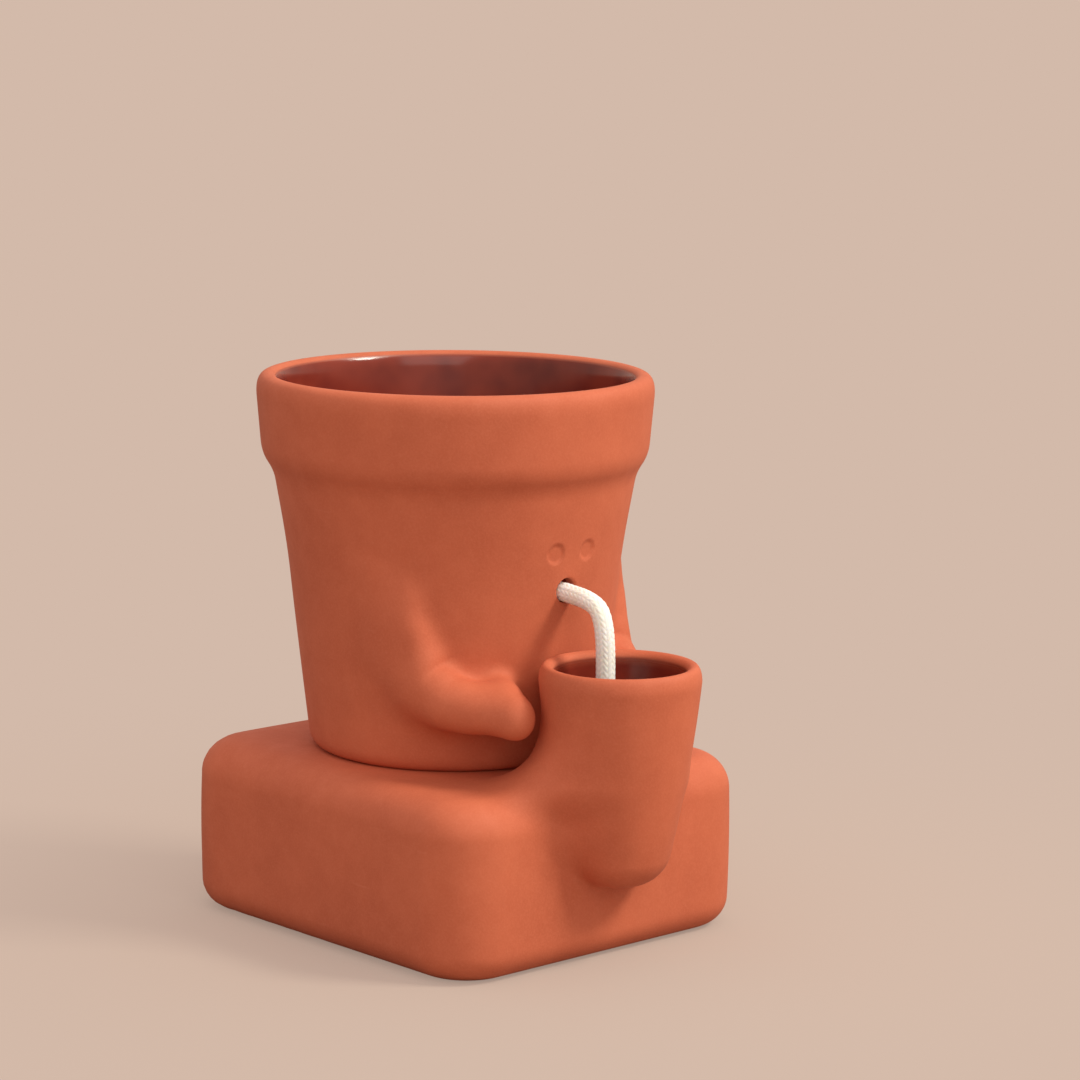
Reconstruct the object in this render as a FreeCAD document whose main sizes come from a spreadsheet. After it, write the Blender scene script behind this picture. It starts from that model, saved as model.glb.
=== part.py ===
import FreeCAD, Part
import math
import os
import Sketcher

# Driving dimensions of the planter, in millimetres, or in degrees where the name says turn
SIZES = [
    ("block_width", 126.8, "base block from side to side"),
    ("block_height", 57.0, "base block from the table to the pot's seat"),
    ("block_back", 65.7, "pot axis to the block's back face"),
    ("block_corner_radius", 20.0, "upright corners of the block"),
    ("block_top_radius", 11.0, "rounding round the block's top"),
    ("block_foot_radius", 9.0, "rounding round the block's underside"),
    ("tank_wall", 5.0, "cast wall of the block"),
    ("cup_gap", 0.3, "cup's rim to the widest part of the pot beside it"),
    ("cup_overhang", 2.7, "block's front face to the cup's axis"),
    ("cup_rim_height", 95.2, "table to the top of the cup's lip"),
    ("cup_rim_radius", 25.7, "outside of the cup below its lip"),
    ("cup_waist_radius", 22.45, "outside of the cup half way down"),
    ("cup_waist_height", 66.0, "table to the cup's half way line"),
    ("cup_heel_radius", 16.3, "outside of the cup where its round bottom starts"),
    ("cup_bottom_height", 25.6, "table to the flat middle of the cup's bottom"),
    ("cup_heel_rise", 7.5, "cup's flat bottom to where its round bottom ends"),
    ("cup_wall", 5.0, "cast wall of the cup"),
    ("cup_lip_wall", 5.5, "cast wall of the cup at its lip"),
    ("cup_lip_outside_drop", 5.0, "height of the lip's outer rounding"),
    ("cup_lip_inside_drop", 2.4, "height of the lip's inner rounding"),
    ("cup_seam_radius", 8.0, "rounding between the cup and the block"),
    ("pot_foot_radius", 44.3, "flat foot that the pot stands on"),
    ("pot_foot_rounding", 3.2, "rounding at the pot's foot"),
    ("pot_heel_radius", 47.5, "outside of the pot above its foot"),
    ("pot_waist_radius", 52.6, "outside of the pot half way up its side"),
    ("pot_waist_height", 46.0, "pot's foot to its half way line"),
    ("pot_neck_radius", 58.5, "outside of the pot under the rim band"),
    ("pot_neck_height", 88.5, "pot's foot to the underside of the rim band"),
    ("band_step_height", 10.0, "height of the curve from neck to band"),
    ("band_foot_radius", 62.9, "outside of the rim band at its lower edge"),
    ("band_top_radius", 64.6, "outside of the rim band under the lip"),
    ("pot_height", 122.2, "pot's foot to the top of its lip"),
    ("pot_lip_radius", 61.2, "crest of the pot's lip"),
    ("pot_lip_outside_drop", 6.2, "height of the lip's outer rounding"),
    ("pot_lip_inside_drop", 4.4, "height of the lip's inner rounding"),
    ("pot_mouth_radius", 57.9, "inside of the pot under its lip"),
    ("pot_bore_foot_radius", 42.0, "inside of the pot at its floor"),
    ("pot_floor", 7.0, "thickness of the pot's floor"),
    ("pot_floor_rounding", 6.0, "inside rounding at the pot's floor"),
    ("mouth_height", 58.0, "pot's foot to the axis of the mouth hole"),
    ("mouth_radius", 4.0, "mouth hole that the wick passes through"),
    ("eye_height", 70.5, "pot's foot to the middle of an eye"),
    ("eye_turn", 7.0, "each eye's turn from the front"),
    ("eye_radius", 3.1, "pressed eye disc"),
    ("eye_depth", 0.5, "depth of the pressed eye disc"),
    ("arm_girth", 10.0, "half of the arm's widest section"),
    ("arm_shoulder_height", 62.5, "pot's foot to the top of the arm"),
    ("arm_hand_height", 24.2, "pot's foot to the middle of the forearm"),
    ("arm_out", 44.3, "pot's middle plane to the upper arm's middle"),
    ("hand_gap", 3.6, "cup's rim to the middle of the hand, sideways"),
    ("arm_back", 22.0, "pot axis forward to the shoulder"),
    ("hand_short", 9.8, "tip of the hand back to the cup's axis"),
    ("wick_diameter", 6.0, "braided cotton wick"),
]

doc = FreeCAD.newDocument("planter")
sheet = doc.addObject("Spreadsheet::Sheet", "Sizes")
for line, (alias, number, note) in enumerate(SIZES, 1):
    sheet.set(f"A{line}", str(number))
    sheet.setAlias(f"A{line}", alias)
    sheet.set(f"B{line}", note)
doc.recompute()


class Size:
    """A length with the sheet expression that gives it, so that one sum both draws and binds it."""

    def __init__(self, number, text):
        self.number = number
        self.text = text

    def __add__(self, other):
        other = sized(other)
        return Size(self.number + other.number, f"({self.text} + {other.text})")

    def __sub__(self, other):
        other = sized(other)
        return Size(self.number - other.number, f"({self.text} - {other.text})")

    def __mul__(self, share):
        return Size(self.number * share, f"({self.text} * {share!r})")

    def __rsub__(self, other):
        return sized(other) - self

    def __neg__(self):
        return Size(-self.number, f"(-{self.text})")

    __radd__ = __add__
    __rmul__ = __mul__


def sized(value):
    return value if isinstance(value, Size) else Size(value, repr(value))


class Sheet:
    """The sheet's aliases as Size objects."""

    def __getattr__(self, alias):
        return Size(float(getattr(sheet, alias)), f"Sizes.{alias}")


s = Sheet()
vector = FreeCAD.Vector
X_AXIS = vector(1, 0, 0)
Y_AXIS = vector(0, 1, 0)
Z_AXIS = vector(0, 0, 1)
SMOOTH = "smooth"
FULL_TURN = 360
HALF_TURN = 180
SAME_PLACE = 1e-4
OVERRUN = s.cup_wall * 0.5

# The cup stands just clear of the pot, and the block's front face and the hands follow the cup
cup_front = s.pot_waist_radius + s.cup_gap + s.cup_rim_radius
block_front = cup_front - s.cup_overhang
hand_out = s.cup_rim_radius + s.hand_gap
hand_reach = cup_front - s.hand_short


def bind(thing, **bound):
    """Binds each named property of a document object to its sheet expression."""
    for name, size in bound.items():
        thing.setExpression(name.replace("__", "."), sized(size).text)
    return thing


def found(number):
    """A starting value for a distance that the sketch works out from its tangents."""
    return Size(sized(number).number, None)


def corner_arc(start, corner, end):
    """The middle of the quarter round that leaves start towards corner and arrives at end."""
    quarter_share = 1 - math.sqrt(0.5)
    return tuple(c + (a + b - c - c) * quarter_share for a, c, b in zip(start, corner, end))


def pin_point(sketch, geometry, which, place):
    """Holds one sketch point at its place, each distance bound to the sheet."""
    for axis, size in zip(("X", "Y"), place):
        size = sized(size)
        if size.text is None:
            continue
        if abs(size.number) < SAME_PLACE:
            axis_line = -2 if axis == "X" else -1
            sketch.addConstraint(Sketcher.Constraint("PointOnObject", geometry, which, axis_line))
            continue
        ends = (-1, 1, geometry, which) if size.number > 0 else (geometry, which, -1, 1)
        length = size if size.number > 0 else -size
        index = sketch.addConstraint(Sketcher.Constraint(f"Distance{axis}", *ends, length.number))
        sketch.setExpression(f"Constraints[{index}]", length.text)


def plain(place):
    return tuple(sized(size).number for size in place)


def flat(place):
    return vector(*plain(place), 0)


def between(start, end, share):
    return tuple(a + (b - a) * share for a, b in zip(start, end))


def outline(body, name, plane, start, steps, **offset):
    """A closed sketch. A step is (end,) for a line, (via, end) for an arc through via, or
    (SMOOTH, end) for an arc that leaves and meets its neighbours without a corner."""
    sketch = body.newObject("Sketcher::SketchObject", name)
    role = [origin for origin in body.Origin.OriginFeatures if origin.Role == plane][0]
    sketch.AttachmentSupport = [(role, "")]
    sketch.MapMode = "FlatFace"
    bind(sketch, **offset)
    here = start
    joins = []
    smooth = set()
    for step in steps:
        there = step[-1]
        if len(step) == 1:
            index = sketch.addGeometry(Part.LineSegment(flat(here), flat(there)))
            joins.append((index, 1, 2))
        else:
            round_way = corner_arc(plain(here), plain((there[0], here[1])), plain(there))
            via = flat(round_way if step[0] is SMOOTH else step[0])
            clockwise = (via - flat(here)).cross(flat(there) - via).z < 0
            ends = (flat(there), flat(here)) if clockwise else (flat(here), flat(there))
            index = sketch.addGeometry(Part.Arc(ends[0], via, ends[1]))
            joins.append((index, 2, 1) if clockwise else (index, 1, 2))
            if step[0] is SMOOTH:
                smooth.add(index)
            else:
                mark = sketch.addGeometry(Part.Point(via), True)
                pin_point(sketch, mark, 1, step[0])
                sketch.addConstraint(Sketcher.Constraint("PointOnObject", mark, 1, index))
        pin_point(sketch, index, joins[-1][2], there)
        here = there
    for (last, _, leaves), (following, arrives, _) in zip(joins, joins[1:] + joins[:1]):
        join = "Tangent" if smooth & {last, following} else "Coincident"
        sketch.addConstraint(Sketcher.Constraint(join, last, leaves, following, arrives))
    return sketch


def edge_names(shape, wanted):
    return [f"Edge{number}" for number, edge in enumerate(shape.Edges, 1) if wanted(edge)]


def samples(edge):
    marks = 6
    span = edge.LastParameter - edge.FirstParameter
    return [edge.valueAt(edge.FirstParameter + span * step / marks) for step in range(marks + 1)]


def rounded(body, name, base, wanted, radius):
    """A fillet on the wanted edges of the body's last feature."""
    doc.recompute()
    fillet = body.newObject("PartDesign::Fillet", name)
    fillet.Base = (base, edge_names(base.Shape, wanted))
    return bind(fillet, Radius=radius)


def turned(body, name, sketch):
    turn = body.newObject("PartDesign::Revolution", name)
    turn.Profile = sketch
    turn.ReferenceAxis = (sketch, ["V_Axis"])
    turn.Angle = FULL_TURN
    return turn


# Base: a hollow cast block whose front carries a cup, one piece of clay with one cavity
BOTTOM_START_SHARE = 0.4


def cast_form(name, inset, cup_inset, lip_inset, lip):
    """The rounded block with the cup grown out of its front, smaller by the insets for the
    cavity, which runs on through the cup's lip."""
    body = doc.addObject("PartDesign::Body", name)
    side = s.block_width * 0.5 - inset
    front = -(block_front - inset)
    back = s.block_back - inset
    floor = sized(inset)
    ceiling = s.block_height - inset
    plan = outline(
        body,
        name + "_plan",
        "XY_Plane",
        (-side, front),
        [((side, front),), ((side, back),), ((-side, back),), ((-side, front),)],
        AttachmentOffset__Base__z=floor,
    )
    block = body.newObject("PartDesign::Pad", name + "_block")
    block.Profile = plan
    bind(block, Length=ceiling - floor)

    def upright(edge):
        ends = [vertex.Point for vertex in edge.Vertexes]
        return abs(ends[0].z - ends[-1].z) > SAME_PLACE

    def level(height):
        return lambda edge: all(abs(point.z - height) < SAME_PLACE for point in samples(edge))

    corners = rounded(body, name + "_corners", block, upright, s.block_corner_radius - inset)
    top = rounded(body, name + "_top", corners, level(ceiling.number), s.block_top_radius - inset)
    foot = rounded(body, name + "_foot", top, level(floor.number), s.block_foot_radius - inset)

    bottom = (0, s.cup_bottom_height + cup_inset)
    waist = (s.cup_waist_radius - cup_inset, s.cup_waist_height)
    heel = (s.cup_heel_radius - cup_inset, s.cup_bottom_height + s.cup_heel_rise)
    bottom_edge = (found(heel[0] * BOTTOM_START_SHARE), bottom[1])
    drop = s.cup_lip_inside_drop if lip else s.cup_lip_outside_drop
    lip_start = (s.cup_rim_radius - lip_inset, s.cup_rim_height - drop)
    crest = (s.cup_rim_radius - s.cup_lip_wall * 0.5, s.cup_rim_height)
    lip_corner = (lip_start[0], s.cup_rim_height)
    above = [((crest[0], crest[1] + OVERRUN),), ((0, crest[1] + OVERRUN),)] if lip else [((0, crest[1]),)]
    section = outline(
        body,
        name + "_cup_section",
        "YZ_Plane",
        bottom,
        [
            (bottom_edge,),
            (SMOOTH, heel),
            (waist, lip_start),
            (corner_arc(lip_start, lip_corner, crest), crest),
            *above,
            (bottom,),
        ],
        AttachmentOffset__Base__x=-cup_front,
    )
    cup = turned(body, name + "_cup", section)
    doc.recompute()
    return body, foot, cup


outside_form, block, cup = cast_form("cast_outside", 0, 0, 0, lip=False)
cavity_form, _, _ = cast_form("cast_cavity", s.tank_wall, s.cup_wall, s.cup_lip_wall, lip=True)


def on_seam(edge):
    marks = [Part.Vertex(point) for point in samples(edge)]
    skins = (block.Shape, cup.AddSubShape)
    return all(skin.distToShape(mark)[0] < SAME_PLACE for mark in marks for skin in skins)


rounded(outside_form, "cup_seam", cup, on_seam, s.cup_seam_radius)
base = doc.addObject("Part::Cut", "base_with_cup")
base.Base = outside_form
base.Tool = cavity_form

# Pot: a tapered body with a rim band, a rounded lip and a plain tapered bore
seat = s.block_height


def pot_place(radius, height):
    return (radius, seat + height)


pot_form = doc.addObject("PartDesign::Body", "pot_outside")
foot_edge = pot_place(s.pot_foot_radius, 0)
heel = pot_place(s.pot_heel_radius, s.pot_foot_rounding)
waist = pot_place(s.pot_waist_radius, s.pot_waist_height)
neck = pot_place(s.pot_neck_radius, s.pot_neck_height)
band_foot = pot_place(s.band_foot_radius, s.pot_neck_height + s.band_step_height)
step_middle = between(neck, band_foot, 0.5)
CONCAVE_SHARES = (0.33, 0.62)
CONVEX_SHARES = (0.67, 0.38)
step_concave = tuple(a + (b - a) * share for a, b, share in zip(neck, step_middle, CONCAVE_SHARES))
step_convex = tuple(a + (b - a) * share for a, b, share in zip(step_middle, band_foot, CONVEX_SHARES))
band_top = pot_place(s.band_top_radius, s.pot_height - s.pot_lip_outside_drop)
crest = pot_place(s.pot_lip_radius, s.pot_height)
mouth_edge = pot_place(s.pot_mouth_radius, s.pot_height - s.pot_lip_inside_drop)
pot_section = outline(
    pot_form,
    "pot_section",
    "XZ_Plane",
    (0, seat),
    [
        (foot_edge,),
        (corner_arc(foot_edge, (heel[0], seat), heel), heel),
        (waist, neck),
        (step_concave, step_middle),
        (step_convex, band_foot),
        (band_top,),
        (corner_arc(band_top, (band_top[0], crest[1]), crest), crest),
        ((0, crest[1]),),
        ((0, seat),),
    ],
)
turned(pot_form, "pot_turn", pot_section)

bore_form = doc.addObject("PartDesign::Body", "pot_bore")
floor = s.pot_floor
bore_floor = pot_place(s.pot_bore_foot_radius - s.pot_floor_rounding, floor)
bore_heel = pot_place(s.pot_bore_foot_radius, floor + s.pot_floor_rounding)
bore_section = outline(
    bore_form,
    "bore_section",
    "XZ_Plane",
    (0, seat + floor),
    [
        (bore_floor,),
        (corner_arc(bore_floor, (bore_heel[0], bore_floor[1]), bore_heel), bore_heel),
        (mouth_edge,),
        (corner_arc(mouth_edge, (mouth_edge[0], crest[1]), crest), crest),
        ((crest[0], crest[1] + OVERRUN),),
        ((0, crest[1] + OVERRUN),),
        ((0, seat + floor),),
    ],
)
turned(bore_form, "bore_turn", bore_section)

# Arms: each a loft through ellipses, flat on the pot's side at the shoulder and round at the hand.
# A row holds the middle's place as shares of the arm's sizes: out from the pot's middle plane
# (0 at the hand, 1 at the upper arm), forward (0 at the shoulder, 1 at the tip), up (0 at the
# forearm, 1 at the shoulder), then both half widths as shares of the girth, and the way that the
# section faces and its long side points, as parts of forward and up.
ARM_SHARES = [
    (0.97, -0.02, 1.00, 0.50, 0.22, (0.0, -1.0), (1.0, 0.0)),
    (1.00, 0.00, 0.84, 0.75, 0.38, (0.0, -1.0), (1.0, 0.0)),
    (0.98, 0.05, 0.62, 0.95, 0.46, (0.0, -1.0), (1.0, 0.0)),
    (0.82, 0.12, 0.35, 1.08, 0.64, (0.1, -1.0), (1.0, 0.1)),
    (0.64, 0.23, 0.11, 0.98, 0.76, (0.7, -0.7), (0.7, 0.7)),
    (0.46, 0.42, 0.01, 0.90, 0.84, (1.0, -0.1), (0.1, 1.0)),
    (0.22, 0.62, 0.00, 0.90, 0.88, (1.0, 0.0), (0.0, 1.0)),
    (0.06, 0.80, -0.03, 0.76, 0.66, (1.0, -0.1), (0.1, 1.0)),
    (0.00, 0.93, -0.06, 0.50, 0.40, (1.0, -0.1), (0.1, 1.0)),
    (-0.02, 1.00, -0.07, 0.20, 0.16, (1.0, 0.0), (0.0, 1.0)),
]
LEAN_SHARE = 0.38


def arm_section(number, shares):
    """One ellipse of the arm, square to the arm's run and with its long side in the pot's side."""
    out_share, forward_share, up_share, long_share, short_share, facing, along = shares
    middle = vector(
        -(hand_out + (s.arm_out - hand_out) * out_share).number,
        -(s.arm_back + (hand_reach - s.arm_back) * forward_share).number,
        (seat + s.arm_hand_height + (s.arm_shoulder_height - s.arm_hand_height) * up_share).number,
    )
    ahead = (X_AXIS * LEAN_SHARE - Y_AXIS).normalize()
    run = (ahead * facing[0] + Z_AXIS * facing[1]).normalize()
    long_side = (ahead * along[0] + Z_AXIS * along[1]).normalize()
    ellipse = doc.addObject("Part::Ellipse", f"arm_section_{number}")
    bind(ellipse, MajorRadius=s.arm_girth * long_share, MinorRadius=s.arm_girth * short_share)
    turn = FreeCAD.Rotation(long_side, run.cross(long_side), run, "ZXY")
    ellipse.Placement = FreeCAD.Placement(middle, turn)
    return ellipse


arm = doc.addObject("Part::Loft", "arm_left")
arm.Sections = [arm_section(number, shares) for number, shares in enumerate(ARM_SHARES, 1)]
arm.Solid = True
arm_right = doc.addObject("Part::Mirroring", "arm_right")
arm_right.Source = arm
arm_right.Normal = X_AXIS

# Face: a round mouth hole through the front wall and two shallow discs pressed above it
mouth = doc.addObject("Part::Cylinder", "mouth_hole")
bind(mouth, Radius=s.mouth_radius, Height=s.pot_mouth_radius, Placement__Base__z=seat + s.mouth_height)
mouth.Placement.Rotation = FreeCAD.Rotation(X_AXIS, HALF_TURN / 2)


def side_radius(height):
    """Outside radius of the pot's side and its slope at a height above the foot."""
    places = [(sized(r).number, sized(z).number - seat.number) for r, z in (heel, waist, neck)]
    side = Part.Arc(*[vector(r, z, 0) for r, z in places])
    line = Part.LineSegment(vector(0, height, 0), vector(places[-1][0] * 2, height, 0))
    meeting = side.intersect(line)[0]
    lean = side.tangent(side.parameter(vector(meeting.X, meeting.Y, 0)))[0]
    return meeting.X, math.degrees(math.atan2(lean.x, lean.y))


def eye(name, turn):
    radius, lean = side_radius(s.eye_height.number)
    disc = doc.addObject("Part::Cylinder", name)
    bind(disc, Radius=s.eye_radius, Height=s.cup_wall)
    spin = FreeCAD.Rotation(Z_AXIS, turn)
    tilt = FreeCAD.Rotation(X_AXIS, HALF_TURN / 2 + lean)
    outward = (spin * tilt).multVec(Z_AXIS)
    surface = spin.multVec(vector(0, -radius, (seat + s.eye_height).number))
    disc.Placement = FreeCAD.Placement(surface - outward * s.eye_depth.number, spin * tilt)
    return disc


eyes = [eye("eye_left", -s.eye_turn.number), eye("eye_right", s.eye_turn.number)]
pot_solid = doc.addObject("Part::MultiFuse", "pot_with_arms")
pot_solid.Shapes = [pot_form, arm, arm_right]
pot_hollows = doc.addObject("Part::MultiFuse", "pot_hollows")
pot_hollows.Shapes = [bore_form, mouth, *eyes]
pot = doc.addObject("Part::Cut", "pot")
pot.Base = pot_solid
pot.Tool = pot_hollows

# Wick: one braided cord in two free stretches that meet inside the mouth hole.
# Each list is the cord's own route in millimetres, from the hole outwards or inwards.
WICK_OUTSIDE_ROUTE = [
    (0.0, -51.0, 114.4),
    (0.0, -57.0, 114.0),
    (0.0, -62.6, 112.9),
    (0.0, -66.8, 110.7),
    (0.1, -69.3, 107.1),
    (0.2, -70.5, 101.5),
    (0.2, -71.2, 93.0),
    (0.1, -71.5, 81.0),
    (-0.1, -71.7, 67.5),
    (-0.3, -73.1, 54.0),
    (-0.1, -74.5, 44.0),
    (0.1, -75.0, 35.0),
]
WICK_INSIDE_ROUTE = [
    (0.0, -51.0, 114.4),
    (0.0, -44.5, 114.2),
    (0.1, -37.9, 111.8),
    (0.3, -32.6, 107.3),
    (0.6, -29.1, 101.2),
    (0.9, -27.4, 93.9),
    (1.2, -26.9, 86.6),
    (1.8, -24.2, 79.6),
    (3.0, -18.7, 73.8),
    (5.2, -11.6, 69.9),
    (8.6, -3.8, 68.0),
    (11.6, 5.0, 67.5),
    (11.2, 15.0, 67.4),
    (6.0, 23.4, 67.5),
    (-3.2, 28.6, 67.4),
]
BEND_SHARE = 0.45


def wick(name, route, thickness):
    """A round tube along straight runs joined by tangent arcs as large as the runs allow."""
    points = [vector(*place) for place in route]
    edges = []
    radii = []
    here = points[0]
    for before, corner, after in zip(points, points[1:], points[2:]):
        coming = (corner - before).normalize()
        going = (after - corner).normalize()
        turn = coming.getAngle(going)
        setback = BEND_SHARE * min((corner - before).Length, (after - corner).Length)
        start = corner - coming * setback
        end = corner + going * setback
        radius = setback / math.tan(turn / 2)
        inward = (going - coming).normalize()
        middle = corner + inward * (radius / math.cos(turn / 2) - radius)
        edges.append(Part.LineSegment(here, start).toShape())
        edges.append(Part.Arc(start, middle, end).toShape())
        radii.append(radius)
        here = end
    edges.append(Part.LineSegment(here, points[-1]).toShape())
    path = Part.Wire(edges)
    radius = thickness.number / 2
    ring = Part.Wire(Part.Circle(points[0], points[1] - points[0], radius).toShape())
    tube = path.makePipeShell([ring], True, False)
    expected = math.pi * radius * radius * path.Length
    print(f"{name}: length {path.Length:.1f} mm, least radius {min(radii):.1f} mm")
    print(f"{name}: radii", " ".join(f"{value:.1f}" for value in radii))
    print(f"{name}: volume {tube.Volume:.0f} mm3 for {expected:.0f} mm3")
    cord = doc.addObject("Part::Feature", name)
    cord.Shape = tube
    return cord


wick_outside = wick("wick_outside", WICK_OUTSIDE_ROUTE, s.wick_diameter)
wick_inside = wick("wick_inside", WICK_INSIDE_ROUTE, s.wick_diameter)

doc.recompute()
for thing in doc.Objects:
    faults = {"Invalid", "Error"} & set(thing.State)
    if faults:
        raise RuntimeError(f"{thing.Name} is {sorted(faults)}")
os.makedirs("parts", exist_ok=True)
for node in (base, pot, wick_outside, wick_inside):
    shape = node.Shape
    if shape.isNull() or not shape.isValid() or len(shape.Solids) != 1:
        raise RuntimeError(f"{node.Label} has no single valid solid")
    box = shape.BoundBox
    print(
        f"{node.Label}: {shape.Volume / 1000:.1f} cm3, x {box.XMin:.1f} {box.XMax:.1f},"
        f" y {box.YMin:.1f} {box.YMax:.1f}, z {box.ZMin:.1f} {box.ZMax:.1f}"
    )
    shape.exportStep(f"parts/{node.Label}.step")
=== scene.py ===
import math

import bpy
import numpy as np
from mathutils import Matrix, Vector


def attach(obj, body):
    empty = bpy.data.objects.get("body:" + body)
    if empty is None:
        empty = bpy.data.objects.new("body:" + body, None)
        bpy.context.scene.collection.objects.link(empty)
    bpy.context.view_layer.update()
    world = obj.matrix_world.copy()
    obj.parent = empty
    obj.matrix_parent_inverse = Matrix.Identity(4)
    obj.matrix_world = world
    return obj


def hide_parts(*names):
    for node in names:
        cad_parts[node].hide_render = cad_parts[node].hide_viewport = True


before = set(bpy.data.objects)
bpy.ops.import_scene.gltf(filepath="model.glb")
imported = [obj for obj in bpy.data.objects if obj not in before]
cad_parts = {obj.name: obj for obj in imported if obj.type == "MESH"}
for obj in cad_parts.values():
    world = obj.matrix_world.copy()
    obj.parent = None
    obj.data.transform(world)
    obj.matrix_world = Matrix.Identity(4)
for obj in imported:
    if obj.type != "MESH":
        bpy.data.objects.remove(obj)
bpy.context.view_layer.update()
scene = bpy.context.scene

# Camera: about 1.2 m off with a long lens, before the block's corner on the side of the pot's
# own right arm and a little above it. It is rolled a little and set off from the pot's axis.
CAMERA_TURN, CAMERA_PITCH, CAMERA_ROLL = np.radians([-42.601, 9.6725, 0.5613])
CAMERA_DISTANCE, CAMERA_ACROSS, CAMERA_UP = 1.20092, 0.028914, 0.122268
SENSOR_MM = 36.0
FOCAL_PIXELS, FRAME_PIXELS = 3620.4934, 1080

camera_data = bpy.data.cameras.new("camera")
camera_data.sensor_width = SENSOR_MM
camera_data.lens = FOCAL_PIXELS / FRAME_PIXELS * SENSOR_MM
camera = bpy.data.objects.new("camera", camera_data)
scene.collection.objects.link(camera)
scene.camera = camera
away = np.array(
    [
        math.sin(CAMERA_TURN) * math.cos(CAMERA_PITCH),
        -math.cos(CAMERA_TURN) * math.cos(CAMERA_PITCH),
        math.sin(CAMERA_PITCH),
    ]
)
level = np.array([math.cos(CAMERA_TURN), math.sin(CAMERA_TURN), 0.0])
upright = np.cross(away, level)
across = math.cos(CAMERA_ROLL) * level + math.sin(CAMERA_ROLL) * upright
above = math.cos(CAMERA_ROLL) * upright - math.sin(CAMERA_ROLL) * level
spot = CAMERA_DISTANCE * away + CAMERA_ACROSS * across + CAMERA_UP * above
pose = np.eye(4)
pose[:3] = np.column_stack([across, above, away, spot])
camera.matrix_world = Matrix(pose)

# Wick: one braided cotton cord of 6 mm, pushed through the pot's mouth hole. Its outer stretch
# hangs into the cup. Its inner one comes down inside the pot and bends round on the floor.
MM = 0.001
WICK_OUTSIDE_ROUTE = MM * np.array(
    [
        (0.0, -51.0, 114.4),
        (0.0, -57.0, 114.0),
        (0.0, -63.4, 113.3),
        (0.0, -68.4, 111.4),
        (0.1, -70.6, 106.8),
        (0.2, -71.4, 100.5),
        (0.2, -71.7, 92.0),
        (0.1, -71.5, 81.0),
        (-0.1, -71.7, 67.5),
        (-0.3, -73.1, 54.0),
        (-0.1, -74.5, 44.0),
        (0.1, -75.0, 35.0),
    ]
)
WICK_INSIDE_ROUTE = MM * np.array(
    [
        (0.0, -51.0, 114.4),
        (0.0, -44.5, 114.2),
        (0.1, -37.9, 111.8),
        (0.3, -32.6, 107.3),
        (0.6, -29.1, 101.2),
        (0.9, -27.4, 93.9),
        (1.2, -26.9, 86.6),
        (1.8, -24.2, 79.6),
        (3.0, -18.7, 73.8),
        (5.2, -11.6, 69.9),
        (8.6, -3.8, 68.0),
        (11.6, 5.0, 67.5),
        (11.2, 15.0, 67.4),
        (6.0, 23.4, 67.5),
        (-3.2, 28.6, 67.4),
    ]
)
# Strands each way, the cord's run from one to the next, and a strand's height
BRAID_STRANDS, BRAID_PITCH, BRAID_RELIEF = 12, 0.0019, 0.00022
# How far a strand is raised or lowered where it crosses another, as a share of its height
WEAVE_LIFT = 0.5
# The cord's radius on a raised strand, and the length over which its ends are rounded off
CORD_CROWN, CORD_END = 0.00308, 0.0006
CORD_COLUMNS, CORD_STEP = 120, 0.00022
COTTON_PALE, COTTON_CREAM = (0.97, 0.95, 0.88, 1), (0.95, 0.91, 0.81, 1)


class Socket:
    """A shader socket that adds its Math nodes from Python operators. Any other node comes from
    node(), which takes its type, its settings and the values or links of its sockets, by name
    or as _0, _1 by number."""

    def __init__(self, tree, output=None):
        self.tree = tree
        self.output = output

    def node(self, kind, settings=None, out=0, **sockets):
        made = self.tree.nodes.new("ShaderNode" + kind)
        for name, value in (settings or {}).items():
            setattr(made, name, value)
        for name, value in sockets.items():
            numbered = name[0] == "_"
            into = made.inputs[int(name[1:]) if numbered else name.replace("_", " ")]
            if isinstance(value, Socket):
                self.tree.links.new(value.output, into)
            else:
                into.default_value = value
        return Socket(self.tree, made.outputs[out])

    def feed(self, node, name):
        self.tree.links.new(self.output, node.inputs[name])

    def math(self, operation, first, second):
        return self.node("Math", {"operation": operation}, _0=first, _1=second)

    def __add__(self, other):
        return self.math("ADD", self, other)

    def __sub__(self, other):
        return self.math("SUBTRACT", self, other)

    def __rsub__(self, other):
        return self.math("SUBTRACT", other, self)

    def __mul__(self, other):
        return self.math("MULTIPLY", self, other)

    __radd__ = __add__
    __rmul__ = __mul__

    def ramp(self, low, high):
        """Runs smoothly from 0 at low to 1 at high."""
        smooth = {"interpolation_type": "SMOOTHSTEP"}
        return self.node("MapRange", smooth, Value=self, From_Min=low, From_Max=high)

    def mix(self, first, second):
        """The first colour where this is 0, the second where it is 1."""
        return self.node("Mix", {"data_type": "RGBA"}, out=2, _0=self, _6=first, _7=second)


def material(name, **finish):
    """A new material, its Principled shader set to the finish, and a socket to build from."""
    made = bpy.data.materials.new(name)
    made.use_nodes = True
    shader = made.node_tree.nodes["Principled BSDF"]
    for socket, value in finish.items():
        shader.inputs[socket.replace("_", " ")].default_value = value
    return made, shader, Socket(made.node_tree)


def surface(name, points, faces, body):
    """A smooth mesh piece that rides on a body: points in metres, faces as rows of corners."""
    mesh = bpy.data.meshes.new(name)
    mesh.from_pydata(points.tolist(), [], faces)
    mesh.polygons.foreach_set("use_smooth", [True] * len(mesh.polygons))
    mesh.update()
    piece = bpy.data.objects.new(name, mesh)
    scene.collection.objects.link(piece)
    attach(piece, body)
    return piece


def ring_quads(corner):
    """Faces between neighbouring rings, from a grid of point numbers with one ring to a row.
    Each ring's last point meets its first."""
    beside = np.roll(corner, -1, axis=1)
    return np.stack([corner[:-1], beside[:-1], beside[1:], corner[1:]], axis=-1)


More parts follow.
